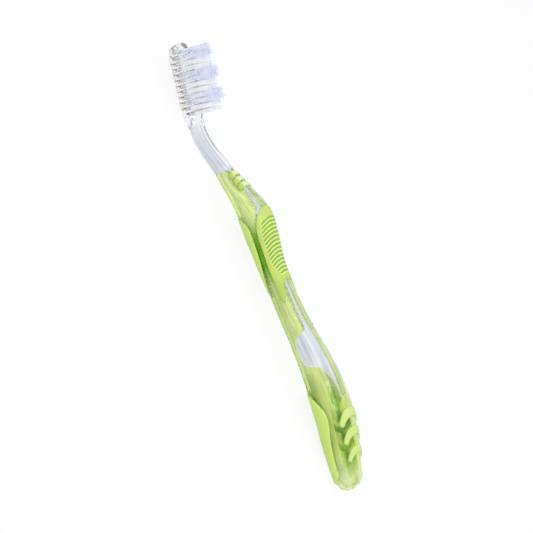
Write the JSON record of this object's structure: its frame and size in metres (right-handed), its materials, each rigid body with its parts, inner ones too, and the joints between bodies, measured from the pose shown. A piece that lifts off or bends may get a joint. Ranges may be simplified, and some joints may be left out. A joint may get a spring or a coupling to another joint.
{
  "type": "manual toothbrush",
  "caption": "Manual toothbrush: clear core with a tilted head and slim neck, translucent handle sleeve, rubber grips, feathered bristle tufts held by metal anchors.",
  "frame": {"origin": "centre of the bounding box at the table plane, on which the brush lies on its back", "axes": "+X along the brush from the tail to the tip of the head, +Z from the back to the bristle side, Y across the brush, which is mirror-symmetric about Y = 0"},
  "size_m": [0.19, 0.016, 0.0224],
  "materials": {
    "clear_core": "clear, glossy",
    "handle_sleeve": "translucent, glossy",
    "neck_ribs": "satin",
    "thumb_grip": "satin",
    "upper_back_grip": "satin",
    "lower_back_grip": "satin",
    "crescent_grips": "satin",
    "grip_runner": "satin",
    "tuft_anchors": "bright",
    "coloured_bristles": "satin filaments",
    "white_bristles": "satin filaments"
  },
  "bodies": {
    "root": {"clear_core": "clear_core", "handle_sleeve": "handle_sleeve", "neck_ribs": "neck_ribs", "thumb_grip": "thumb_grip", "upper_back_grip": "upper_back_grip", "lower_back_grip": "lower_back_grip", "crescent_grip_1": "crescent_grips", "crescent_grip_2": "crescent_grips", "crescent_grip_3": "crescent_grips", "grip_runner": "grip_runner", "tuft_anchors": "tuft_anchors", "tuft_row_01": "coloured_bristles", "tuft_row_02": "coloured_bristles", "tuft_row_03": "white_bristles", "tuft_row_04": "white_bristles", "tuft_row_05": "coloured_bristles", "tuft_row_06": "coloured_bristles", "tuft_row_07": "white_bristles", "tuft_row_08": "white_bristles", "tuft_row_09": "coloured_bristles", "tuft_row_10": "coloured_bristles", "tuft_row_11": "white_bristles", "tuft_row_12": "white_bristles"}
  },
  "joints": []
}
